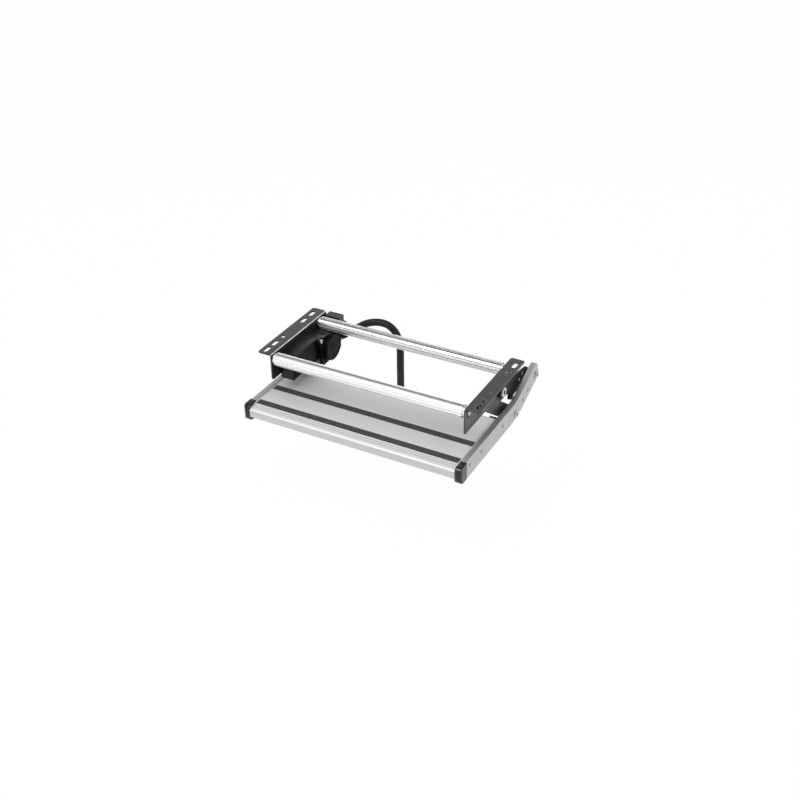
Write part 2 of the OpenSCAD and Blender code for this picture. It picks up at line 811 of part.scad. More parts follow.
module worm_bearings() color([0.7, 0.71, 0.72]) {
    worm_bearing(block_front);
    worm_tail_bearing(block_back - block_wall - bearing_w);
}

module cover_outline(inset) {
    x0 = cover_front + inset;
    x1 = rear_pivot[0];
    z0 = cover_base_z + inset;
    r = cover_corner_r - inset;
    difference() {
        intersection() {
            rounded(x0, z0, x1 + r, rear_pivot[1] + cover_top - inset + over, r);
            translate([cover_apex_y, cover_arch_z]) circle(r = cover_arch_r - inset, $fn = 180);
        }
        translate(rear_pivot) circle(r = case_r + seat_gap);
        translate([x1, z0 - over]) square([r + over, cover_top + cover_base + 2*over]);
    }
}

module motor_cover() color([0.11, 0.11, 0.11]) difference() {
    along_x(-web_in, cover_inner) cover_outline(0);
    along_x(-web_in - over, cover_inner - cover_wall) cover_outline(cover_wall);
    rod_x(-web_in - over, cover_inner + over, ear_front, boss_r + pass_gap);
}

module motor_can() color([0.6, 0.61, 0.62]) difference() {
    union() {
        rod_y(can_front, can_back, motor_x, worm_z, can_r);
        rod_y(can_back - over, block_front, motor_x, worm_z, neck_r);
    }
    rod_y(can_front - over, can_back - can_wall, motor_x, worm_z, can_r - can_wall);
    rod_y(can_front, block_front + over, motor_x, worm_z, motor_shaft_d/2 + pass_gap);
}

module motor_magnets() color([0.25, 0.25, 0.27]) for (s = [-1, 1]) difference() {
    rod_y(core_mid - core_l/2, core_mid + core_l/2, motor_x, worm_z, can_r - can_wall - seat_gap);
    rod_y(core_mid - core_l, core_mid + core_l, motor_x, worm_z, can_r - can_wall - magnet_t);
    translate([motor_x - s*can_r, core_mid, worm_z])
        cube([2*can_r + magnet_gap, core_l + 2*over, 2*can_r], center = true);
}

module motor_end_bell() color([0.15, 0.15, 0.15]) difference() {
    union() {
        rod_y(can_front - bell_l, can_front, motor_x, worm_z, bell_r);
        rod_y(can_front, can_front + bell_lip, motor_x, worm_z, can_r - can_wall - seat_gap);
    }
    rod_y(can_front - bell_l + bell_wall, can_front + bell_lip + over, motor_x, worm_z, bell_bore_r);
    rod_y(can_front - bell_l - over, can_front, motor_x, worm_z, motor_shaft_d/2 + run_gap);
}

module on_motor_shaft(y0, y1, r) {
    difference() {
        rod_y(y0, y1, motor_x, worm_z, r);
        rod_y(y0 - over, y1 + over, motor_x, worm_z, motor_shaft_d/2 + seat_gap);
    }
}

module armature() color([0.45, 0.42, 0.4]) {
    on_motor_shaft(core_mid - core_l/2, core_mid + core_l/2, lamination_r);
}

module commutator() color([0.72, 0.45, 0.25]) {
    y0 = can_front - bell_l + bell_wall + bell_room;
    on_motor_shaft(y0, y0 + commutator_l, commutator_r);
}

module motor_shaft() color([0.7, 0.71, 0.72]) {
    y0 = can_front - bell_l + shaft_short;
    y1 = block_back - block_wall - shaft_short;
    rod_y(y0, y1, motor_x, worm_z, motor_shaft_d/2);
}

// One thread start, as a round section set off its axis and twisted along the shaft
module worm() color([0.66, 0.66, 0.66]) {
    offset_r = 0.9;
    turns = 5;
    difference() {
        translate([motor_x, rear_pivot[0] - worm_l/2, worm_z]) rotate([-90, 0, 0])
            linear_extrude(worm_l, twist = 360*turns, slices = 8*turns)
                translate([offset_r, 0]) circle(r = worm_r - offset_r, $fn = 12);
        rod_y(rear_pivot[0] - worm_l, rear_pivot[0] + worm_l, motor_x, worm_z, motor_shaft_d/2 + seat_gap);
    }
}

module wheel_outline() {
    pitch = 360/wheel_teeth;
    polygon([for (i = [0:wheel_teeth - 1], k = [[0, 0], [0.3, 0], [0.4, 1], [0.6, 1], [0.7, 0]])
        let (a = pitch*(i + k[0]), r = k[1] == 1 ? wheel_r : wheel_root_r) [r*cos(a), r*sin(a)]]);
}

module worm_wheel() color([0.72, 0.58, 0.28]) difference() {
    along_x(motor_x - wheel_w/2, motor_x + wheel_w/2) translate(rear_pivot) wheel_outline();
    rod_x(motor_x - wheel_w, motor_x + wheel_w, rear_pivot, shaft_r + seat_gap);
}

module output_shaft() color([0.7, 0.71, 0.72]) difference() {
    union() {
        rod_x(-link_out, case_end - shaft_back, rear_pivot, shaft_r);
        rod_x(case_end - shaft_back - over, case_end + spigot_l, rear_pivot, spigot_r);
    }
    thread_end = -link_in + drive_thread_l + drive_thread_clear;
    rod_x(-link_out - over, thread_end, rear_pivot, tube_screw_d/2 + seat_gap);
}

module drive_screw() color([0.75, 0.75, 0.74]) difference() {
    union() {
        rod_x(-link_out - pivot_head_t, -link_out, rear_pivot, pivot_head_d/2);
        rod_x(-link_out - over, -link_in + drive_thread_l, rear_pivot, tube_screw_d/2);
    }
    head_end = -link_out - pivot_head_t;
    hex_x(head_end - over, head_end + pivot_key_d, rear_pivot, tube_screw_key);
}

// Control box and its cable
module box_block(x0, x1, inset) {
    translate([0, 0, box_low + inset]) linear_extrude(box_h - 2*inset)
        rounded(x0, box_front + inset, x1, box_back - inset, box_corner_r);
}

module gland_axis() {
    translate(cable_pts[0]) rotate([0, 90 - gland_tilt, 0]) children();
}

module control_box() color([0.12, 0.12, 0.12]) difference() {
    box_block(lid_seam + seam_gap/2, box_right, 0);
    box_block(lid_seam - 2*over, box_right - box_wall, box_wall);
    gland_axis() translate([0, 0, -gland_l - gland_reach])
        cylinder(r = cable_r + seat_gap, h = gland_l + 2*gland_reach);
}

module control_box_lid() color([0.12, 0.12, 0.12]) difference() {
    union() {
        box_block(box_left, lid_seam - seam_gap/2, 0);
        box_block(box_left + box_wall, lid_seam + lid_lip, box_wall + seat_gap);
        for (z = foot_zs) rod_x(-web_in, box_left + over, [foot_y, z], foot_d/2);
    }
    box_block(box_left + box_wall, lid_seam + lid_lip + over, 2*box_wall);
    for (z = foot_zs) rod_x(-web_in - over, box_left + 2*box_wall, [foot_y, z], box_screw_r + seat_gap);
}

module control_board() color([0.1, 0.35, 0.18]) {
    y0 = box_front + 2*box_wall + seat_gap;
    y1 = box_back - 2*box_wall - seat_gap;
    z = (box_top + box_low)/2;
    translate([box_left + box_wall + 1, y0, z]) cube([box_w - 2*box_wall - 3, y1 - y0, board_t]);
    translate([box_left + 10, y0 + 2, z + board_t]) cube([12, y1 - y0 - 4, 8]);
}

module control_box_screws() color([0.75, 0.75, 0.74]) for (z = foot_zs) {
    rod_x(-web_out - over, box_left, [foot_y, z], box_screw_r);
    rod_x(-web_out - box_screw_head_t, -web_out, [foot_y, z], box_screw_head_r);
}

module cable_gland() color([0.07, 0.07, 0.07]) difference() {
    gland_axis() translate([0, 0, -gland_l]) {
        cylinder(r = gland_r, h = gland_l*0.5);
        translate([0, 0, gland_l*0.5]) cylinder(r1 = gland_r, r2 = cable_r + 1, h = gland_l*0.5);
    }
    gland_axis() translate([0, 0, -gland_l - over]) cylinder(r = gland_bore_r, h = gland_l + 2*over);
    translate([box_left, box_front - 2*over, box_low - over])
        cube([box_w + seat_gap, box_d + 4*over, box_h + 2*over]);
}

// Cable swept along its points: a ring of corners at each point, square to the way it runs
function unit(v) = v/norm(v);
function way(i) = unit(cable_pts[min(i + 1, len(cable_pts) - 1)] - cable_pts[max(i - 1, 0)]);
function way_at(i) = i == 0 ? [cos(gland_tilt), 0, sin(gland_tilt)] : way(i);
function ring(i) = let (t = way_at(i), n = unit(cross([0, 1, 0], t)), b = cross(t, n))
    [for (k = [0:cable_sides - 1]) let (a = 360*k/cable_sides) cable_pts[i] + cable_r*(cos(a)*n + sin(a)*b)];

module cable() color([0.06, 0.06, 0.06]) {
    last = len(cable_pts) - 1;
    m = cable_sides;
    points = [for (i = [0:last], p = ring(i)) p];
    sides = [for (i = [0:last - 1], k = [0:m - 1], h = [0, 1]) let (j = (k + 1) % m)
        h == 0 ? [i*m + k, (i + 1)*m + j, i*m + j] : [i*m + k, (i + 1)*m + k, (i + 1)*m + j]];
    front = [for (k = [1:m - 2]) [0, k, k + 1]];
    back = [for (k = [1:m - 2]) [last*m, last*m + k + 1, last*m + k]];
    polyhedron(points = points, faces = concat(sides, front, back));
}

module cable_connector() color([0.07, 0.07, 0.07]) {
    end = cable_pts[len(cable_pts) - 1];
    translate(end - [0, 0, connector_l]) {
        cylinder(r = connector_r, h = connector_l*0.6);
        translate([0, 0, connector_l*0.6]) cylinder(r1 = connector_r, r2 = cable_r + 1, h = connector_l*0.4);
    }
}

// Tread
module deck_outline() {
    face_z = deck_top - nose_fall;
    polygon([
        [deck_rear, deck_base], [deck_rear, deck_top], [nose_top_y, deck_top],
        [deck_front + nose_r, face_z + nose_fall*nose_r/nose_d], [deck_front, face_z - nose_r/2],
        [deck_front, deck_base + nose_r], [deck_front + nose_r, deck_base]
    ]);
}

module deck_cell(i) {
    clear = deck_depth - nose_d - deck_wall;
    w = clear/deck_cells - deck_wall;
    y = nose_top_y + i*clear/deck_cells;
    translate([y, deck_base + deck_wall]) square([w, deck_t - 2*deck_wall - strip_groove]);
}

module deck() color([0.8, 0.8, 0.8]) difference() {
    along_x(-arm_in, arm_in) difference() {
        deck_outline();
        difference() {
            for (i = [0:deck_cells - 1]) deck_cell(i);
            for (p = deck_screws) translate(p) circle(r = port_r);
            for (p = deck_screws) translate(p - [port_web/2, deck_t]) square([port_web, 2*deck_t]);
        }
        for (i = [1:nose_ribs]) {
            f = i*rib_share;
            translate([nose_top_y - f*nose_d, deck_top - f*nose_fall]) circle(r = rib_r, $fn = 24);
        }
    }
    for (y = strip_ys) translate([-strip_l/2 - seat_gap, y - seat_gap, deck_top - strip_groove])
        cube([strip_l + 2*seat_gap, strip_w + 2*seat_gap, strip_groove + over]);
    both_sides() for (p = deck_screws) {
        rod_x(arm_in - deck_screw_l - 2*over, arm_in + over, p, arm_screw_d/2 + seat_gap);
    }
}

module grip_strip(y) {
    translate([-strip_l/2, y, deck_top - strip_groove]) cube([strip_l, strip_w, strip_t]);
}

module front_grip_strip() color([0.15, 0.15, 0.15]) grip_strip(strip_ys[0]);

module rear_grip_strip() color([0.15, 0.15, 0.15]) grip_strip(strip_ys[1]);

module tail_outline() {
    translate(bend_end) rotate(arm_rise) {
        translate([0, -arm_h/2]) square([tail_l - tail_r, arm_h]);
        translate([0, -arm_h/2 + tail_r]) square([tail_l, arm_h - 2*tail_r]);
        for (s = [-1, 1]) translate([tail_l - tail_r, s*(arm_h/2 - tail_r)]) circle(r = tail_r);
    }
}

module bend_outline() {
    intersection() {
        translate(bend_c) difference() {
            circle(r = arm_bend_r + arm_h/2, $fn = 180);
            circle(r = arm_bend_r - arm_h/2, $fn = 180);
        }
        polygon([bend_c, bend_c + 2*arm_bend_r*[0, -1], bend_c + 2*arm_bend_r*[tan(arm_rise), -1]]);
    }
}

module arm_outline() {
    translate([arm_front, arm_base]) square([bend_y - arm_front, arm_h]);
    bend_outline();
    tail_outline();
}

module arm() {
    difference() {
        along_x(arm_in, arm_out) arm_outline();
        translate([arm_in + cap_plug_wall, arm_front - over, arm_base + cap_plug_wall])
            cube([arm_t - 2*cap_plug_wall, cap_plug_l + over, arm_h - 2*cap_plug_wall]);
        for (p = arm_pivots) rod_x(arm_in - over, arm_out + over, p, pivot_r + seat_gap);
        for (p = concat(rear_screws, deck_screws, [buffer_screw])) {
            rod_x(arm_in - over, arm_out + over, p, arm_screw_d/2 + seat_gap);
        }
    }
}

module left_arm() color([0.78, 0.78, 0.78]) left_side() arm();

module right_arm() color([0.78, 0.78, 0.78]) arm();

// End cap, rounded in the side view and again in the plan, with a lip over the nose's end
module cap_side() {
    z0 = arm_base + cap_lift;
    z1 = arm_top + cap_proud;
    translate([cap_front + cap_r, z0]) square([arm_front - cap_front - cap_r, cap_r]);
    translate([cap_front, z0 + cap_r]) square([arm_front - cap_front, z1 - z0 - cap_r - cap_top_r]);
    translate([cap_front + cap_top_r, z1 - cap_top_r]) square([arm_front - cap_front - cap_top_r, cap_top_r]);
    translate([cap_front + cap_r, z0 + cap_r]) circle(r = cap_r);
    translate([cap_front + cap_top_r, z1 - cap_top_r]) circle(r = cap_top_r);
}

module cap_plan() {
    difference() {
        union() {
            translate([arm_in - cap_lip, cap_front + cap_side_r]) square([2*cap_side_r, cap_l - cap_side_r]);
            translate([cap_out - cap_side_r, cap_front + cap_side_r]) circle(r = cap_side_r);
        }
        translate([arm_in - cap_lip - over, deck_front - pass_gap]) square([cap_lip + over, cap_l]);
    }
}

module end_cap() {
    intersection() {
        along_x(arm_in - cap_lip, cap_out) cap_side();
        translate([0, 0, arm_base]) linear_extrude(arm_h + 2*over) cap_plan();
    }
    translate([arm_in + cap_plug_wall + seat_gap, arm_front - over, arm_base + cap_plug_wall + seat_gap])
        cube([arm_t - 2*cap_plug_wall - 2*seat_gap, cap_plug_l, arm_h - 2*cap_plug_wall - 2*seat_gap]);
}

module left_end_cap() color([0.06, 0.06, 0.06]) left_side() end_cap();

module right_end_cap() color([0.06, 0.06, 0.06]) end_cap();

module pivot_plate() {
    along_x(arm_in - pivot_plate_t, arm_in) difference() {
        union() {
            bar(front_arm_pivot, rear_screws[1], pivot_plate_w);
            bar(rear_screws[1], rear_arm_pivot, pivot_plate_w);
        }
        for (p = arm_pivots) translate(p) circle(r = pivot_r + seat_gap);
        for (p = rear_screws) translate(p) circle(r = arm_screw_d/2 + seat_gap);
    }
}

module pivot_plates() color([0.2, 0.2, 0.21]) both_sides() pivot_plate();

module arm_pivot_screw(at, x0) {
    head_end = arm_out + arm_pivot_head_t;
    difference() {
        union() {
            rod_x(x0, arm_out + over, at, pivot_r);
            rod_x(arm_out, head_end, at, arm_pivot_head_d/2);
        }
        hex_x(head_end - arm_pivot_key_d, head_end + over, at, arm_pivot_key);
    }
}

module arm_pivot_screws() color([0.72, 0.72, 0.72]) both_sides() {
    arm_pivot_screw(rear_arm_pivot, spacer_in);
    arm_pivot_screw(front_arm_pivot, link_in - nut_t - over);
}

module arm_spacers() color([0.7, 0.71, 0.72]) both_sides() for (p = arm_pivots) difference() {
    rod_x(spacer_in, arm_in - pivot_plate_t, p, pivot_r + spacer_wall);
    rod_x(spacer_in - over, arm_in, p, pivot_r + seat_gap);
}

module arm_pivot_nuts() color([0.7, 0.7, 0.69]) both_sides() {
    pivot_nut(link_in - nut_t - pass_gap, link_in - pass_gap, front_arm_pivot);
}

module arm_screw(at, x0) {
    rod_x(x0, arm_out + over/2, at, arm_screw_d/2);
    difference() {
        rod_x(arm_out, arm_out + screw_head_t, at, arm_screw_head_d/2);
        hex_x(arm_out + screw_head_t - screw_key_d, arm_out + screw_head_t + over, at, screw_key);
    }
}

module arm_screws() color([0.72, 0.72, 0.72]) both_sides() {
    for (p = rear_screws) arm_screw(p, arm_in - pivot_plate_t);
    for (p = deck_screws) arm_screw(p, arm_in - deck_screw_l);
    arm_screw(buffer_screw, arm_in - deck_screw_l);
}

module deck_buffers() color([0.05, 0.05, 0.05]) both_sides() difference() {
    along_x(arm_in - buffer_w, arm_in)
        rounded(deck_rear, deck_base, deck_rear + buffer_l, deck_top - buffer_drop, buffer_r);
    rod_x(arm_in - deck_screw_l - over, arm_in + over, buffer_screw, arm_screw_d/2 + seat_gap);
}

left_bracket();
right_bracket();
front_tube();
rear_tube();
tube_plugs();
tube_screws();
front_pivot_pins();
rear_pivot_bolt();
rear_pivot_nut();
link_washers();
gearbox_housing();
gearbox_cap();
gearbox_bolts();
shaft_bush();
shaft_seal();
worm_bearings();
motor_cover();
motor_can();
motor_magnets();
motor_end_bell();
armature();
commutator();
motor_shaft();
worm();
worm_wheel();
output_shaft();
drive_screw();
control_box();
control_box_lid();
control_board();
control_box_screws();
cable_gland();
cable();
cable_connector();
left_rear_link();
right_rear_link();
rear_link_bush();
rear_link_pins();
link_rivets();
link_stops();
link_stop_nuts();
left_front_link();
right_front_link();
front_link_bushes();
deck();
front_grip_strip();
rear_grip_strip();
left_arm();
right_arm();
left_end_cap();
right_end_cap();
pivot_plates();
arm_pivot_screws();
arm_spacers();
arm_pivot_nuts();
arm_screws();
deck_buffers();
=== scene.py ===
import bpy, bmesh
from math import radians, degrees, atan2, pi
from mathutils import Vector, Matrix, noise


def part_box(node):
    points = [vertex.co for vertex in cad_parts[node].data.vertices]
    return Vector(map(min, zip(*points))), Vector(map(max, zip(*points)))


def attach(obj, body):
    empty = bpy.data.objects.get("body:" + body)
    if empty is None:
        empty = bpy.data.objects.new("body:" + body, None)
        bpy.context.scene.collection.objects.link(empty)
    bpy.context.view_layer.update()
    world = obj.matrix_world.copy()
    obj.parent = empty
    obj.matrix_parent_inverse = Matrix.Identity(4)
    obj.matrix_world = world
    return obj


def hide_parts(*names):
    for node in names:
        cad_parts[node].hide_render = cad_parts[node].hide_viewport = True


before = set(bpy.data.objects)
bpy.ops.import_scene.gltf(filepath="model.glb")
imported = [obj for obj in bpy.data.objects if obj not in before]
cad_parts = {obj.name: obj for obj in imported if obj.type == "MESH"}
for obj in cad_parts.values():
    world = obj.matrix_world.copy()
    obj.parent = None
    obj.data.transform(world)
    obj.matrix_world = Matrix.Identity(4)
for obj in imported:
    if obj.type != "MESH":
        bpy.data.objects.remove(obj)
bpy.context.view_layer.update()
scene = bpy.context.scene
scene.view_settings.view_transform = "Standard"
print("frame loaded,", len(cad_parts), "nodes")

# camera, fitted to the photograph's own perspective
viewSet = {"place": (1.12973, -1.98813, 1.35481), "turn": (57.5398, 0.5634, 28.3056),
           "lens": 52.87, "sensor": 36.0, "near": 0.05, "far": 60}

def makeCamera():
    eye = bpy.data.cameras.new("stepCamera")
    eye.lens, eye.sensor_width = viewSet["lens"], viewSet["sensor"]
    eye.clip_start, eye.clip_end = viewSet["near"], viewSet["far"]
    holder = bpy.data.objects.new("stepCamera", eye)
    holder.location = viewSet["place"]
    holder.rotation_euler = [radians(a) for a in viewSet["turn"]]
    scene.collection.objects.link(holder)
    scene.camera = holder

makeCamera()
print("camera set")

# finishes: each returns a material made of nodes on Object coordinates

def startFinish(name, colour, metal, rough, shine=0.5):
    mat = bpy.data.materials.new(name)
    mat.use_nodes = True
    tree = mat.node_tree
    shader = tree.nodes["Principled BSDF"]
    shader.inputs["Base Color"].default_value = (*colour, 1)
    shader.inputs["Metallic"].default_value = metal
    shader.inputs["Roughness"].default_value = rough
    shader.inputs["Specular IOR Level"].default_value = shine
    coord = tree.nodes.new("ShaderNodeTexCoord").outputs["Object"]
    return mat, tree, shader, coord

def grey(level):
    return (level, level, level*1.02)

def stretched(tree, coord, scale):
    node = tree.nodes.new("ShaderNodeMapping")
    node.inputs["Scale"].default_value = scale
    tree.links.new(coord, node.inputs["Vector"])
    return node.outputs["Vector"]

def speckle(tree, vector, scale, detail=3.0, rough=0.55):
    node = tree.nodes.new("ShaderNodeTexNoise")
    node.inputs["Scale"].default_value = scale
    node.inputs["Detail"].default_value = detail
    node.inputs["Roughness"].default_value = rough
    tree.links.new(vector, node.inputs["Vector"])
    return node.outputs["Fac"]

def spread(tree, fac, low, high, fromLow=0.3, fromHigh=0.7):
    node = tree.nodes.new("ShaderNodeMapRange")
    node.inputs["From Min"].default_value = fromLow
    node.inputs["From Max"].default_value = fromHigh
    node.inputs["To Min"].default_value = low
    node.inputs["To Max"].default_value = high
    tree.links.new(fac, node.inputs["Value"])
    return node.outputs["Result"]

def twoTone(tree, shader, fac, dark, light, fromLow=0.35, fromHigh=0.65):
    ramp = tree.nodes.new("ShaderNodeValToRGB")
    ramp.color_ramp.elements[0].position, ramp.color_ramp.elements[0].color = fromLow, (*dark, 1)
    ramp.color_ramp.elements[1].position, ramp.color_ramp.elements[1].color = fromHigh, (*light, 1)
    tree.links.new(fac, ramp.inputs["Fac"])
    tree.links.new(ramp.outputs["Color"], shader.inputs["Base Color"])

def roughen(tree, shader, fac, low, high):
    tree.links.new(spread(tree, fac, low, high), shader.inputs["Roughness"])

def relief(tree, shader, height, strength, depth):
    node = tree.nodes.new("ShaderNodeBump")
    node.inputs["Strength"].default_value = strength
    node.inputs["Distance"].default_value = depth
    tree.links.new(height, node.inputs["Height"])
    tree.links.new(node.outputs["Normal"], shader.inputs["Normal"])

def bracketPaint():
    mat, tree, shader, coord = startFinish("bracketPaint", grey(0.028), 0.0, 0.32, 0.5)
    twoTone(tree, shader, speckle(tree, coord, 35, 4), grey(0.025), grey(0.032))
    roughen(tree, shader, speckle(tree, coord, 90, 4), 0.28, 0.37)
    relief(tree, shader, speckle(tree, coord, 900, 2), 0.12, 0.0004)
    return mat

def bracketEdge():  # paint rubbed thin along the plate's edges, and lighter there as a painted highlight on the edges
    mat, tree, shader, coord = startFinish("bracketEdge", grey(0.2), 0.4, 0.32, 0.5)
    twoTone(tree, shader, speckle(tree, coord, 160, 4), grey(0.13), grey(0.28))
    return mat

def foldPaintedHighlight():  # painted highlight: the bent edge of the plate, coloured light grey where the gloss would catch the light
    mat, tree, shader, coord = startFinish("foldPaintedHighlight", grey(0.5), 0.3, 0.3, 0.5)
    twoTone(tree, shader, speckle(tree, coord, 90, 3), grey(0.42), grey(0.58))
    return mat

def frontLinkPaint():
    mat, tree, shader, coord = startFinish("frontLinkPaint", grey(0.035), 0.0, 0.4, 0.5)
    twoTone(tree, shader, speckle(tree, coord, 45, 4), grey(0.03), grey(0.042))
    roughen(tree, shader, speckle(tree, coord, 120, 4), 0.33, 0.46)
    relief(tree, shader, speckle(tree, coord, 900, 2), 0.12, 0.0004)
    return mat

# painted shade: the same black paint as the front links, darker and duller for the rear links, pivot plates and
# a web side that sit in shade
def blackPaintedShade():
    mat, tree, shader, coord = startFinish("blackPaintedShade", grey(0.012), 0.0, 0.42, 0.25)
    twoTone(tree, shader, speckle(tree, coord, 45, 4), grey(0.01), grey(0.015))
    roughen(tree, shader, speckle(tree, coord, 120, 4), 0.36, 0.48)
    relief(tree, shader, speckle(tree, coord, 900, 2), 0.12, 0.0004)
    return mat

def treadAluminium():  # etched and anodised, so nearly matt
    mat, tree, shader, coord = startFinish("treadAluminium", grey(0.57), 0.2, 0.55, 0.4)
    drawn = stretched(tree, coord, (1.5, 220, 220))
    twoTone(tree, shader, speckle(tree, drawn, 4, 5), grey(0.555), grey(0.585))
    roughen(tree, shader, speckle(tree, stretched(tree, coord, (3, 160, 160)), 5, 4), 0.5, 0.62)
    relief(tree, shader, speckle(tree, stretched(tree, coord, (2, 500, 500)), 6, 3), 0.08, 0.0003)
    return mat

def lipPaintedHighlight():  # the nose's lip: a lighter colour painted on the rounding as a painted highlight, and a little glossier
    mat, tree, shader, coord = startFinish("lipPaintedHighlight", grey(0.63), 0.3, 0.48, 0.4)
    drawn = stretched(tree, coord, (1.5, 220, 220))
    twoTone(tree, shader, speckle(tree, drawn, 4, 5), grey(0.61), grey(0.65))
    roughen(tree, shader, speckle(tree, drawn, 5, 4), 0.43, 0.53)
    return mat

def ribFlutePaintedShade():  # painted shade in the fine ribs and flutes
    mat, tree, shader, coord = startFinish("ribFlutePaintedShade", grey(0.45), 0.3, 0.5, 0.4)
    twoTone(tree, shader, speckle(tree, stretched(tree, coord, (2, 200, 200)), 6, 3), grey(0.41), grey(0.49))
    return mat

# painted shade: mid grey in the tubes' key groove, standing for a dark reflection there, and on the walls of
# the screw heads' rims
def markAndRimPaintedShade():
    mat, tree, shader, coord = startFinish("markAndRimPaintedShade", grey(0.2), 0.3, 0.5, 0.4)
    twoTone(tree, shader, speckle(tree, stretched(tree, coord, (2, 200, 200)), 6, 3), grey(0.17), grey(0.23))
    return mat

def armAluminium():
    mat, tree, shader, coord = startFinish("armAluminium", grey(0.48), 0.3, 0.45, 0.4)
    drawn = stretched(tree, coord, (220, 1.5, 60))
    twoTone(tree, shader, speckle(tree, drawn, 4, 5), grey(0.455), grey(0.5))
    roughen(tree, shader, speckle(tree, stretched(tree, coord, (160, 3, 60)), 5, 4), 0.4, 0.52)
    relief(tree, shader, speckle(tree, coord, 1200, 2), 0.08, 0.0003)
    return mat

def armTop():  # painted shade: the bar's narrow top face, coloured darker than its sides
    mat, tree, shader, coord = startFinish("armTop", grey(0.37), 0.5, 0.32, 0.5)
    twoTone(tree, shader, speckle(tree, stretched(tree, coord, (120, 2, 2)), 4, 3), grey(0.35), grey(0.39))
    roughen(tree, shader, speckle(tree, coord, 40, 3), 0.27, 0.34)
    return mat

def tubeAluminium():
    mat, tree, shader, coord = startFinish("tubeAluminium", grey(0.82), 1.0, 0.28)
    drawn = stretched(tree, coord, (1.2, 300, 300))
    twoTone(tree, shader, speckle(tree, drawn, 4, 4), grey(0.79), grey(0.85))
    roughen(tree, shader, speckle(tree, drawn, 7, 4), 0.25, 0.33)
    relief(tree, shader, speckle(tree, drawn, 9, 2), 0.05, 0.0003)
    return mat

# painted highlight: the front tube's flutes, coloured lighter than the tube so its bright band runs on across
# them
def flutePaintedHighlight():
    mat, tree, shader, coord = startFinish("flutePaintedHighlight", grey(0.88), 0.6, 0.45)
    drawn = stretched(tree, coord, (1.2, 300, 300))
    twoTone(tree, shader, speckle(tree, drawn, 4, 4), grey(0.86), grey(0.9))
    return mat

def zincPlate():
    mat, tree, shader, coord = startFinish("zincPlate", (0.62, 0.62, 0.615), 1.0, 0.3)
    twoTone(tree, shader, speckle(tree, coord, 260, 4), (0.52, 0.52, 0.52), (0.7, 0.7, 0.69))
    roughen(tree, shader, speckle(tree, coord, 500, 3), 0.22, 0.4)
    relief(tree, shader, speckle(tree, coord, 1500, 2), 0.08, 0.0002)
    return mat

def paleZinc():  # a light, dull zinc colour that paints light onto heads sitting in the shade between the plates
    mat, tree, shader, coord = startFinish("paleZinc", grey(0.75), 0.15, 0.45)
    twoTone(tree, shader, speckle(tree, coord, 260, 4), grey(0.68), grey(0.82))
    relief(tree, shader, speckle(tree, coord, 1500, 2), 0.08, 0.0002)
    return mat

def blackSteelAndSocketShade():  # blackened screws, and painted shade inside a key socket
    mat, tree, shader, coord = startFinish("blackSteelAndSocketShade", grey(0.02), 0.4, 0.45, 0.3)
    twoTone(tree, shader, speckle(tree, coord, 300, 4), grey(0.015), grey(0.028))
    roughen(tree, shader, speckle(tree, coord, 500, 3), 0.38, 0.52)
    return mat

def groundSteel():
    mat, tree, shader, coord = startFinish("groundSteel", (0.55, 0.55, 0.555), 1.0, 0.28)
    twoTone(tree, shader, speckle(tree, coord, 300, 4), (0.48, 0.48, 0.485), (0.62, 0.62, 0.625))
    roughen(tree, shader, speckle(tree, stretched(tree, coord, (1, 60, 60)), 40, 3), 0.2, 0.36)
    return mat

def bearingBronze():
    mat, tree, shader, coord = startFinish("bearingBronze", (0.5, 0.34, 0.15), 1.0, 0.34)
    twoTone(tree, shader, speckle(tree, coord, 280, 4), (0.42, 0.28, 0.12), (0.58, 0.4, 0.19))
    roughen(tree, shader, speckle(tree, coord, 420, 3), 0.28, 0.44)
    return mat

def turnedCopper():
    mat, tree, shader, coord = startFinish("turnedCopper", (0.6, 0.3, 0.16), 1.0, 0.3)
    twoTone(tree, shader, speckle(tree, coord, 300, 4), (0.5, 0.24, 0.12), (0.68, 0.36, 0.2))
    return mat

def coverPlastic():
    mat, tree, shader, coord = startFinish("coverPlastic", grey(0.013), 0.0, 0.3, 0.42)
    twoTone(tree, shader, speckle(tree, coord, 60, 4), grey(0.0115), grey(0.0145))
    roughen(tree, shader, speckle(tree, coord, 140, 4), 0.24, 0.34)
    relief(tree, shader, speckle(tree, coord, 1600, 2), 0.04, 0.0003)
    return mat

def casePlasticAndCoverShade():
    mat, tree, shader, coord = startFinish("casePlasticAndCoverShade", grey(0.005), 0.0, 0.34, 0.05)
    twoTone(tree, shader, speckle(tree, coord, 60, 4), grey(0.004), grey(0.006))
    roughen(tree, shader, speckle(tree, coord, 140, 4), 0.3, 0.4)
    relief(tree, shader, speckle(tree, coord, 1600, 2), 0.15, 0.0004)
    return mat

def boxPlastic():
    mat, tree, shader, coord = startFinish("boxPlastic", grey(0.022), 0.0, 0.4, 0.45)
    twoTone(tree, shader, speckle(tree, coord, 60, 4), grey(0.018), grey(0.026))
    roughen(tree, shader, speckle(tree, coord, 140, 4), 0.35, 0.46)
    relief(tree, shader, speckle(tree, coord, 1600, 2), 0.2, 0.0004)
    return mat

def capGloss():
    mat, tree, shader, coord = startFinish("capGloss", grey(0.008), 0.0, 0.12, 0.5)
    twoTone(tree, shader, speckle(tree, coord, 80, 3), grey(0.007), grey(0.01))
    roughen(tree, shader, speckle(tree, coord, 200, 3), 0.1, 0.15)
    relief(tree, shader, speckle(tree, coord, 700, 2), 0.02, 0.0003)
    return mat

def blackRubber():
    mat, tree, shader, coord = startFinish("blackRubber", grey(0.014), 0.0, 0.7, 0.3)
    twoTone(tree, shader, speckle(tree, coord, 150, 4), grey(0.011), grey(0.019))
    relief(tree, shader, speckle(tree, coord, 1400, 3), 0.3, 0.0004)
    return mat

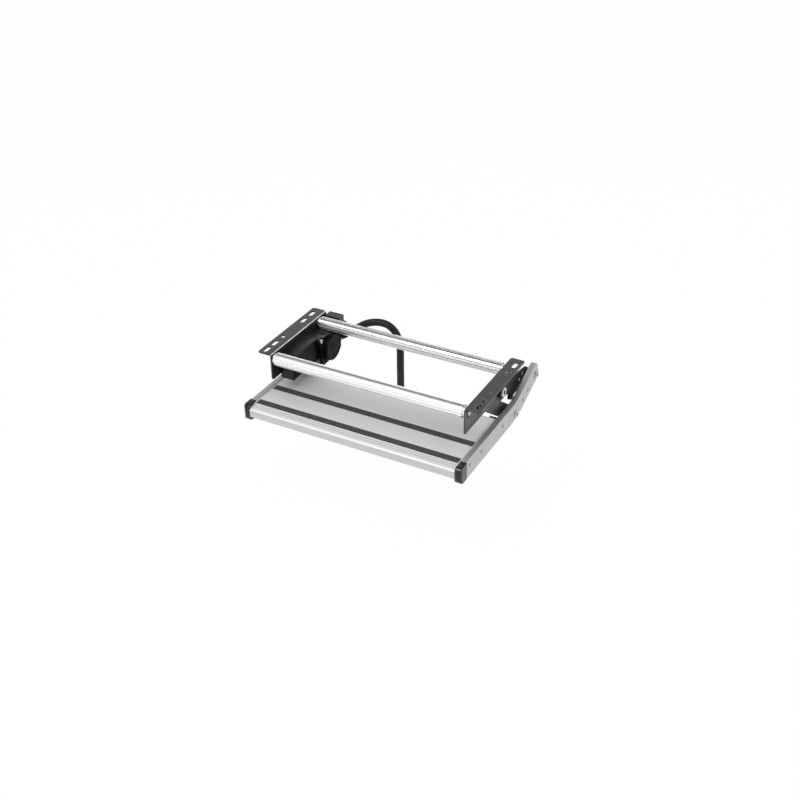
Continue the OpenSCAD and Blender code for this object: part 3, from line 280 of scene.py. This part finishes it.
def hoseSleeve():
    mat, tree, shader, coord = startFinish("hoseSleeve", grey(0.009), 0.0, 0.44, 0.25)
    twoTone(tree, shader, speckle(tree, coord, 70, 3), grey(0.0075), grey(0.0115))
    roughen(tree, shader, speckle(tree, coord, 160, 3), 0.38, 0.5)
    relief(tree, shader, speckle(tree, coord, 800, 2), 0.1, 0.0004)
    return mat

def gripGrit():
    mat, tree, shader, coord = startFinish("gripGrit", grey(0.03), 0.0, 0.85, 0.3)
    twoTone(tree, shader, speckle(tree, coord, 330, 2, 0.75), grey(0.014), grey(0.085), 0.36, 0.68)
    relief(tree, shader, speckle(tree, coord, 900, 2, 0.7), 0.6, 0.0008)
    return mat

def magnetGrey():
    mat, tree, shader, coord = startFinish("magnetGrey", (0.08, 0.08, 0.085), 0.3, 0.6)
    twoTone(tree, shader, speckle(tree, coord, 300, 4), (0.06, 0.06, 0.065), (0.1, 0.1, 0.105))
    return mat

def boardGreen():
    mat, tree, shader, coord = startFinish("boardGreen", (0.02, 0.12, 0.05), 0.0, 0.4)
    twoTone(tree, shader, speckle(tree, coord, 500, 3), (0.015, 0.1, 0.04), (0.03, 0.14, 0.06))
    return mat

finishes = {make.__name__: make() for make in (
    bracketPaint, bracketEdge, foldPaintedHighlight, frontLinkPaint, blackPaintedShade, treadAluminium, lipPaintedHighlight,
    ribFlutePaintedShade, markAndRimPaintedShade, armAluminium, armTop, tubeAluminium, flutePaintedHighlight, zincPlate, paleZinc, blackSteelAndSocketShade,
    groundSteel, bearingBronze, turnedCopper, coverPlastic, casePlasticAndCoverShade, boxPlastic, capGloss, blackRubber,
    hoseSleeve, gripGrit, magnetGrey, boardGreen)}
print("finishes made,", len(finishes))

# helpers that turn a bmesh into a piece on a body

def asPiece(bm, name, body, finish, nodes=(), smooth=35):
    mesh = bpy.data.meshes.new(name)
    bm.to_mesh(mesh)
    bm.free()
    for poly in mesh.polygons:
        poly.use_smooth = True
    mesh.set_sharp_from_angle(angle=radians(smooth))
    mesh.materials.append(finishes[finish])
    piece = bpy.data.objects.new(name, mesh)
    scene.collection.objects.link(piece)
    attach(piece, body)
    if nodes:
        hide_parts(*nodes)
    return piece

def dress(piece, finish, chosen):
    piece.data.materials.append(finishes[finish])
    for poly in piece.data.polygons:
        if chosen(poly.center, poly.normal):
            poly.material_index = len(piece.data.materials) - 1

def mergedCopy(node):
    bm = bmesh.new()
    bm.from_mesh(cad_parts[node].data)
    bmesh.ops.remove_doubles(bm, verts=bm.verts, dist=0.000004)
    bmesh.ops.dissolve_limit(bm, angle_limit=radians(0.4), verts=bm.verts, edges=bm.edges, delimit=set())
    return bm

def roundEdges(piece, width, segments=2, angle=30):
    edge = piece.modifiers.new("softEdge", "BEVEL")
    edge.width, edge.segments = width, segments
    edge.limit_method, edge.angle_limit = "ANGLE", radians(angle)
    edge.harden_normals = True
    edge.use_clamp_overlap = True
    return piece

def turnedRing(profile, centre, axis, steps=72):
    bm = bmesh.new()
    spots = [bm.verts.new(p) for p in profile]
    edges = [bm.edges.new(pair) for pair in zip(spots, spots[1:])]
    bmesh.ops.spin(bm, geom=spots + edges, cent=centre, axis=axis, angle=2*pi, steps=steps, use_merge=True)
    bmesh.ops.remove_doubles(bm, verts=bm.verts, dist=0.000002)
    bmesh.ops.recalc_face_normals(bm, faces=bm.faces)
    return bm

# cable first: the same route as the solid, in millimetres
cableSet = {
    "route": ((-188, 153, -46.5), (-177, 153, -39), (-166, 154, -31), (-154, 155, -22.5), (-142, 157, -14),
              (-129, 159, -7), (-116, 161, -2.5), (-101, 163, 0), (-87, 164.5, -0.5), (-74, 165.5, -4.5),
              (-63, 166.5, -13), (-55, 167, -24), (-50, 167, -37.5), (-47, 167, -52.5), (-46, 167, -69),
              (-46, 167, -91), (-46, 167, -115), (-46, 167, -145), (-46, 167, -175), (-46, 167, -205),
              (-46, 167, -240), (-46, 167, -275)),
    "radius": 0.009, "tilt": 34.0, "glandLength": 0.014}
plugSet = {"tall": 0.046, "wide": 0.004, "groove": 0.003, "rings": 4, "ringFrom": 0.013, "ringPitch": 0.0035}

def makeCable():
    curve = bpy.data.curves.new("supplyCable", "CURVE")
    curve.dimensions = "3D"
    curve.resolution_u = 6
    line = curve.splines.new("BEZIER")
    line.bezier_points.add(len(cableSet["route"]) - 1)
    for knot, spot in zip(line.bezier_points, cableSet["route"]):
        knot.co = Vector(spot)/1000
        knot.handle_left_type = knot.handle_right_type = "AUTO"
    curve.bevel_depth = cableSet["radius"]
    curve.bevel_resolution = 6
    curve.use_fill_caps = True
    curve.materials.append(finishes["hoseSleeve"])
    hose = bpy.data.objects.new("supplyCable", curve)
    scene.collection.objects.link(hose)
    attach(hose, "frame")
    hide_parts("cable")
    bpy.context.view_layer.update()
    return hose, line.calc_length()

def makePlug():
    r, tall = cableSet["radius"], plugSet["tall"]
    x, y, z = Vector(cableSet["route"][-1])/1000
    low = z - tall
    wide, groove = x + r + plugSet["wide"], x + r + plugSet["groove"]
    profile = [(x, y, low), (x + r + 0.0025, y, low), (wide, y, low + 0.0015), (wide, y, low + 0.012)]
    for k in range(plugSet["rings"]):
        at = low + plugSet["ringFrom"] + plugSet["ringPitch"]*k
        profile += [(groove, y, at), (groove, y, at + 0.0012), (wide, y, at + 0.0016), (wide, y, at + 0.0028)]
    profile += [(wide, y, low + tall*0.6), (x + r + 0.0012, y, z - 0.002), (x + r + 0.0008, y, z), (x, y, z)]
    bm = turnedRing(profile, (x, y, z), (0, 0, 1), 48)
    return asPiece(bm, "cablePlug", "frame", "coverPlastic", ["cable_connector"], 28)

hose, hoseLength = makeCable()
plug = makePlug()
print("cable made, length %.3f m" % hoseLength)

# pressed and machined pieces that keep their solid's shape and get real edges
edgeSet = {  # finish, body, slot and width of the softened edge
    "left_rear_link": ("blackPaintedShade", "rear_links", "black_paint", 0.0005),
    "right_rear_link": ("blackPaintedShade", "rear_links", "black_paint", 0.0005),
    "left_front_link": ("frontLinkPaint", "front_links", "black_paint", 0.0005),
    "right_front_link": ("frontLinkPaint", "front_links", "black_paint", 0.0005),
    "pivot_plates": ("blackPaintedShade", "tread", "black_paint", 0.0004),
    "front_tube": ("tubeAluminium", "frame", "tube_aluminium", 0.0002),
    "rear_tube": ("tubeAluminium", "frame", "tube_aluminium", 0.0002),
    "tube_plugs": ("tubeAluminium", "frame", "tube_aluminium", 0.0005),
    "tube_screws": ("zincPlate", "frame", "zinc", 0.0005),
    "front_pivot_pins": ("blackSteelAndSocketShade", "frame", "zinc", 0.0006),
    "rear_pivot_bolt": ("paleZinc", "frame", "zinc", 0.0006),
    "rear_pivot_nut": ("zincPlate", "frame", "zinc", 0.0005),
    "gearbox_bolts": ("zincPlate", "frame", "zinc", 0.0005),
    "control_box_screws": ("zincPlate", "frame", "zinc", 0.0003),
    "drive_screw": ("zincPlate", "rear_links", "zinc", 0.0005),
    "rear_link_pins": ("groundSteel", "rear_links", "steel", 0.0004),
    "link_rivets": ("paleZinc", "rear_links", "zinc", 0.0006),
    "link_stops": ("blackRubber", "rear_links", "rubber", 0.0008),
    "link_stop_nuts": ("zincPlate", "rear_links", "zinc", 0.0002),
    "arm_pivot_screws": ("zincPlate", "tread", "zinc", 0.0008),
    "arm_pivot_nuts": ("zincPlate", "tread", "zinc", 0.0005),
    "arm_spacers": ("groundSteel", "tread", "steel", 0.0003),
    "arm_screws": ("zincPlate", "tread", "zinc", 0.0003),
    "deck_buffers": ("blackRubber", "tread", "rubber", 0.001),
    "gearbox_housing": ("casePlasticAndCoverShade", "frame", "black_plastic", 0.0012),
    "control_box": ("boxPlastic", "frame", "black_plastic", 0.0008),
    "control_box_lid": ("boxPlastic", "frame", "black_plastic", 0.0008),
    "motor_cover": ("coverPlastic", "frame", "black_plastic", 0.0015),
    "left_arm": ("armAluminium", "tread", "deck_aluminium", 0.0008),
    "right_arm": ("armAluminium", "tread", "deck_aluminium", 0.0008),
    "deck": ("treadAluminium", "tread", "deck_aluminium", 0.0004)}

def pieceName(node):
    words = node.split("_")
    return words[0] + "".join(w.capitalize() for w in words[1:])

armSet = {"nodes": ("left_arm", "right_arm"), "round": 0.002, "topFace": 0.00003, "topWay": 0.6, "sideWay": 0.9,
          "outside": 0.275}

def softenTop(bm):  # the long edges of an arm's top, and no hole's rim
    def isTop(face):
        return face.normal.z > armSet["topWay"] and face.calc_area() > armSet["topFace"]
    def isSide(face):
        return abs(face.normal.x) > armSet["sideWay"]
    long = [e for e in bm.edges if any(isTop(f) for f in e.link_faces) and any(isSide(f) for f in e.link_faces)]
    bmesh.ops.bevel(bm, geom=long, offset=armSet["round"], offset_type="OFFSET", segments=4, profile=0.5,
                    affect="EDGES", clamp_overlap=True, material=-1)

edged = {}
for node, (finish, body, slot, width) in edgeSet.items():
    bm = mergedCopy(node)
    if node in armSet["nodes"]:
        softenTop(bm)
    edged[node] = asPiece(bm, pieceName(node), body, finish, [node])
    roundEdges(edged[node], width)
print("edged pieces made,", len(edgeSet))

# second finishes on some faces: painted shade in key sockets, on arm tops, screw rims, the cover's side, the
# ribs and the rear flutes; painted highlight on the case top, the nose's lip and the front flutes
socketSet = {  # axes as (Y, Z), reach across the socket, and how far out its floor is
    "rear_pivot_bolt": {"axes": ((0.104, -0.062),), "reach": 0.0059, "floor": 0.2542},
    "arm_pivot_screws": {"axes": ((0.246, -0.086), (0.133, -0.132)), "reach": 0.0043, "floor": 0.2762},
    "arm_screws": {"axes": ((-0.056, -0.1205), (-0.112, -0.1205), (0.061, -0.12325), (0.2018, -0.1047),
                            (0.1732, -0.1168)), "reach": 0.0016, "floor": 0.2756}}
socketLip = 0.0003  # what stays bright round a socket
fluteSet = {"axes": {"front_tube": (-0.072, 100.0, "flutePaintedHighlight"), "rear_tube": (0.125, 117.0, "ribFlutePaintedShade")},
            "drop": -0.0165, "outside": 0.0153, "bore": 0.0125, "markWide": 10.0}
ribSet = {"top": (-0.141, -0.103), "run": 0.023, "fall": 0.006, "shares": (0.25, 0.5), "radius": 0.0011,
          "lip": (-0.1641, -0.1598), "lipWay": (0.3, 0.95)}

# painted shade: the walls and floor of each key socket take the black finish
def darkenSockets(node):
    kit = socketSet[node]
    face = max(abs(v.co.x) for v in edged[node].data.vertices) - socketLip
    def inSocket(at, way):
        near = any((at.y - y)**2 + (at.z - z)**2 < kit["reach"]**2 for y, z in kit["axes"])
        return near and kit["floor"] < abs(at.x) < face
    dress(edged[node], "blackSteelAndSocketShade", inSocket)

# painted light and shade in the tubes' flutes: a lighter finish on the front tube, a darker one on the rear,
# and painted shade in the key groove
def paintFluteLightAndShade(node):
    axis, mark, flute = fluteSet["axes"][node]
    def away(at):
        return Vector((at.y - axis, at.z - fluteSet["drop"]))
    def inFlute(at, way):
        return fluteSet["bore"] < away(at).length < fluteSet["outside"] and abs(way.x) < 0.5
    def inMark(at, way):
        turn = degrees(atan2(away(at).y, away(at).x))
        return inFlute(at, way) and abs(turn - mark) < fluteSet["markWide"]
    dress(edged[node], flute, inFlute)
    dress(edged[node], "markAndRimPaintedShade", inMark)

def inRib(at, way):
    y0, z0 = ribSet["top"]
    spots = [(y0 - f*ribSet["run"], z0 - f*ribSet["fall"]) for f in ribSet["shares"]]
    return abs(way.x) < 0.5 and any((at.y - y)**2 + (at.z - z)**2 < ribSet["radius"]**2 for y, z in spots)

def onLip(at, way):
    (front, back), (flat, steep) = ribSet["lip"], ribSet["lipWay"]
    return front < at.y < back and flat < way.z < steep

for node in socketSet:
    darkenSockets(node)
for node in fluteSet["axes"]:
    paintFluteLightAndShade(node)
# painted shade on the arms' top faces
for node in armSet["nodes"]:
    dress(edged[node], "armTop", lambda at, way: way.z > armSet["topWay"])
# painted shade on the side walls of the arm screws' heads
dress(edged["arm_screws"], "markAndRimPaintedShade", lambda at, way: abs(way.x) < 0.5 and abs(at.x) > armSet["outside"])
# painted highlight: the gear case's upward faces take the lighter bracket paint
dress(edged["gearbox_housing"], "bracketPaint", lambda at, way: way.z > 0.5)
# painted shade: the cover's side that faces +X takes the darker case plastic
dress(edged["motor_cover"], "casePlasticAndCoverShade", lambda at, way: way.x > 0.8)
# painted shade in the nose's two fine ribs
dress(edged["deck"], "ribFlutePaintedShade", inRib)
# painted highlight: the lip's rounded faces take the lighter finish
dress(edged["deck"], "lipPaintedHighlight", onLip)
print("second finishes laid on")

# end caps: moulded, so every edge of the solid is blown round
capSet = {"nodes": ("left_end_cap", "right_end_cap"), "voxel": 0.0007, "passes": 14}

def makeEndCap(node):
    piece = asPiece(mergedCopy(node), pieceName(node), "tread", "capGloss", [node], 80)
    skin = piece.modifiers.new("mouldSkin", "REMESH")
    skin.mode, skin.voxel_size, skin.use_smooth_shade = "VOXEL", capSet["voxel"], True
    soft = piece.modifiers.new("mouldSoft", "SMOOTH")
    soft.factor, soft.iterations = 0.5, capSet["passes"]

for node in capSet["nodes"]:
    makeEndCap(node)
print("end caps made")

# brackets: the same plate, with the round fold that a press leaves
bracketSet = {"inner": 0.245, "fold": 0.004, "edge": 0.0006, "near": 1e-4, "sheen": (0.6, 0.9), "webWay": 0.9}

def makeBracket(node):
    bm = mergedCopy(node)
    def onFold(spot):
        return abs(abs(spot.x) - bracketSet["inner"]) < bracketSet["near"] and spot.z > -bracketSet["near"]
    fold = [e for e in bm.edges if all(onFold(v.co) for v in e.verts)]
    bmesh.ops.bevel(bm, geom=fold, offset=bracketSet["fold"], offset_type="OFFSET", segments=5, profile=0.5,
                    affect="EDGES", clamp_overlap=True, material=-1)
    piece = asPiece(bm, pieceName(node), "frame", "bracketPaint", [node], 40)
    # painted highlight and wear: the bevel faces along the plate's edges take the lighter edge finish
    piece.data.materials.append(finishes["bracketEdge"])
    roundEdges(piece, bracketSet["edge"], 2, 35).modifiers["softEdge"].material = 1
    if node == "left_bracket":  # its fold gets a painted highlight and the inner side of its web painted shade; both face the camera
        low, high = bracketSet["sheen"]
        dress(piece, "foldPaintedHighlight", lambda at, way: low < way.z < high and way.x > 0.4)
        # painted shade: the web's inner face takes the darker copy of the black paint
        dress(piece, "blackPaintedShade", lambda at, way: way.x > bracketSet["webWay"])

for node in ("left_bracket", "right_bracket"):
    makeBracket(node)
print("brackets made")

# gear case cap, turned with a chamfered rim and a shallow dished face
gearCapSet = {"face": -0.1935, "back": -0.203, "pivot": (0.104, -0.062), "radius": 0.034,
              "bore": 0.012, "dish": 0.0009}

def makeGearCap():
    face, back, r = gearCapSet["face"], gearCapSet["back"], gearCapSet["radius"]
    y, z = gearCapSet["pivot"]
    low, hub = face - gearCapSet["dish"], face - 0.0002
    steps = [(back, gearCapSet["bore"]), (back, r), (face - 0.0022, r), (low, r - 0.0006), (face, r - 0.002),
             (face, r - 0.0045), (low, r - 0.0056), (low, 0.0105), (hub, 0.0095), (hub, 0.0)]
    bm = turnedRing([(x, y, z + up) for x, up in steps], (0, y, z), (1, 0, 0), 96)
    return asPiece(bm, "gearboxCap", "frame", "casePlasticAndCoverShade", ["gearbox_cap"], 28)

makeGearCap()

# cable gland: a ringed collar that tapers onto the cable, cut flush with the box
glandSet = {"boxFace": -0.199}

def makeGland():
    r, long = cableSet["radius"], cableSet["glandLength"]
    steps = [(r - 0.002, -long), (r + 0.0018, -long), (r + 0.0018, -long*0.62), (r + 0.0011, -long*0.58),
             (r + 0.0011, -long*0.5), (r + 0.0018, -long*0.46), (r + 0.0015, -long*0.3), (r + 0.001, -0.0006),
             (r + 0.0005, 0), (r - 0.002, 0), (r - 0.002, -long)]
    bm = turnedRing([(a, 0, b) for a, b in steps], (0, 0, 0), (0, 0, 1), 48)
    lean = Matrix.Rotation(radians(90 - cableSet["tilt"]), 4, "Y")
    place = Matrix.Translation(Vector(cableSet["route"][0])/1000) @ lean
    bmesh.ops.transform(bm, matrix=place, verts=bm.verts)
    cut = bmesh.ops.bisect_plane(bm, geom=bm.verts[:] + bm.edges[:] + bm.faces[:],
                                 plane_co=(glandSet["boxFace"], 0, 0), plane_no=(-1, 0, 0), clear_outer=True)
    rim = [e for e in cut["geom_cut"] if isinstance(e, bmesh.types.BMEdge)]
    bmesh.ops.edgenet_fill(bm, edges=rim)
    bmesh.ops.recalc_face_normals(bm, faces=bm.faces)
    return asPiece(bm, "cableGland", "frame", "blackRubber", ["cable_gland"], 30)

makeGland()
print("gear cap and gland made")

# grip strips: a bar whose top is raised grit
gripSet = {"nodes": ("front_grip_strip", "rear_grip_strip"), "grain": 0.0013, "height": 0.0003}

def makeGrip(node, seed):
    low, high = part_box(node)
    size, mid = high - low, (high + low)/2
    bm = bmesh.new()
    across, deep = int(size.x/gripSet["grain"]), int(size.y/gripSet["grain"])
    bmesh.ops.create_grid(bm, x_segments=across, y_segments=deep, size=0.5)
    bmesh.ops.scale(bm, vec=(size.x, size.y, 1), verts=bm.verts)
    bmesh.ops.translate(bm, vec=(mid.x, mid.y, high.z), verts=bm.verts)
    base = bmesh.ops.extrude_edge_only(bm, edges=[e for e in bm.edges if e.is_boundary])
    rim = [v for v in base["geom"] if isinstance(v, bmesh.types.BMVert)]
    bmesh.ops.translate(bm, vec=(0, 0, -size.z), verts=rim)
    bmesh.ops.contextual_create(bm, geom=[e for e in bm.edges if e.is_boundary])
    bmesh.ops.recalc_face_normals(bm, faces=bm.faces)
    for v in bm.verts:
        if v.co.z > high.z - 1e-5:
            v.co.z -= gripSet["height"]*(0.5 + 0.5*noise.noise(v.co*900 + Vector((0, 0, seed))))
    return asPiece(bm, pieceName(node), "tread", "gripGrit", [node], 60)

for seed, node in enumerate(gripSet["nodes"]):
    makeGrip(node, 7.0*seed)
print("grip strips made")

# hidden works keep their solids and get their own finish
insideSet = {
    "link_washers": "bearingBronze", "shaft_bush": "bearingBronze", "shaft_seal": "blackRubber",
    "worm_bearings": "groundSteel", "motor_can": "zincPlate", "motor_magnets": "magnetGrey",
    "motor_end_bell": "coverPlastic", "armature": "groundSteel", "commutator": "turnedCopper",
    "motor_shaft": "groundSteel", "worm": "groundSteel", "worm_wheel": "bearingBronze",
    "output_shaft": "groundSteel", "control_board": "boardGreen", "rear_link_bush": "bearingBronze",
    "front_link_bushes": "bearingBronze"}

for node, finish in insideSet.items():
    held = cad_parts[node]
    held.data.materials.clear()
    held.data.materials.append(finishes[finish])
print("hidden works finished,", len(insideSet))

# stage: white floor and world, soft lamps
stageSet = {"floor": -0.335, "floorHalf": 14, "floorGlow": 0.97, "horizon": 1.0, "ceiling": 0.45,
            "ceilingSpan": (0.455, 0.565), "worldLight": 0.6}
lampSet = {
    "keyLamp": {"place": (-0.85, -1.6, 2.6), "aim": (0, 0, -0.08), "size": 2.0, "watts": 50, "mirrored": True},
    "topLamp": {"place": (-0.3, 0.3, 2.6), "aim": (0, 0, -0.1), "size": 2.4, "watts": 18, "mirrored": False},
    "sideLamp": {"place": (2.7, 0.2, 1.2), "aim": (0, 0, -0.1), "size": 1.6, "watts": 11, "mirrored": True},
    "backLamp": {"place": (1.1, 2.1, 1.4), "aim": (0, 0, -0.05), "size": 0.8, "watts": 6, "mirrored": True}}

def seenMix(tree):
    path = tree.nodes.new("ShaderNodeLightPath")
    last = path.outputs["Is Camera Ray"]
    for name in ("Is Glossy Ray", "Is Transmission Ray"):
        top = tree.nodes.new("ShaderNodeMath")
        top.operation = "MAXIMUM"
        tree.links.new(last, top.inputs[0])
        tree.links.new(path.outputs[name], top.inputs[1])
        last = top.outputs[0]
    return last

def makeWorld():  # mirrors see white round the horizon and a dimmer ceiling
    world = bpy.data.worlds.new("whiteSurround")
    scene.world = world
    world.use_nodes = True
    tree = world.node_tree
    back = tree.nodes["Background"]
    back.inputs["Color"].default_value = (1, 1, 1, 1)
    way = tree.nodes.new("ShaderNodeSeparateXYZ")
    tree.links.new(tree.nodes.new("ShaderNodeTexCoord").outputs["Generated"], way.inputs["Vector"])
    seen = spread(tree, way.outputs["Z"], stageSet["horizon"], stageSet["ceiling"], *stageSet["ceilingSpan"])
    level = tree.nodes.new("ShaderNodeMapRange")
    level.inputs["To Min"].default_value = stageSet["worldLight"]
    tree.links.new(seen, level.inputs["To Max"])
    tree.links.new(seenMix(tree), level.inputs["Value"])
    tree.links.new(level.outputs["Result"], back.inputs["Strength"])

def makeFloor():
    mat = bpy.data.materials.new("whiteFloor")
    mat.use_nodes = True
    tree = mat.node_tree
    shader = tree.nodes["Principled BSDF"]
    shader.inputs["Base Color"].default_value = (0.9, 0.9, 0.9, 1)
    shader.inputs["Roughness"].default_value = 0.9
    glow = tree.nodes.new("ShaderNodeEmission")
    blend = tree.nodes.new("ShaderNodeMixShader")
    share = tree.nodes.new("ShaderNodeMath")
    share.operation = "MULTIPLY"
    share.inputs[1].default_value = stageSet["floorGlow"]
    tree.links.new(seenMix(tree), share.inputs[0])
    tree.links.new(share.outputs[0], blend.inputs["Fac"])
    tree.links.new(shader.outputs[0], blend.inputs[1])
    tree.links.new(glow.outputs[0], blend.inputs[2])
    tree.links.new(blend.outputs[0], tree.nodes["Material Output"].inputs["Surface"])
    bm = bmesh.new()
    bmesh.ops.create_grid(bm, x_segments=2, y_segments=2, size=stageSet["floorHalf"])
    bmesh.ops.translate(bm, vec=(0, 0, stageSet["floor"]), verts=bm.verts)
    mesh = bpy.data.meshes.new("whiteFloor")
    bm.to_mesh(mesh)
    bm.free()
    mesh.materials.append(mat)
    floor = bpy.data.objects.new("whiteFloor", mesh)
    scene.collection.objects.link(floor)

def makeLamps():
    for name, lamp in lampSet.items():
        light = bpy.data.lights.new(name, "AREA")
        light.shape, light.size, light.energy = "DISK", lamp["size"], lamp["watts"]
        holder = bpy.data.objects.new(name, light)
        beam = Vector(lamp["aim"]) - Vector(lamp["place"])
        holder.location = lamp["place"]
        holder.rotation_euler = beam.to_track_quat("-Z", "Y").to_euler()
        holder.visible_glossy = lamp["mirrored"]
        scene.collection.objects.link(holder)

makeWorld()
makeFloor()
makeLamps()
print("stage set")
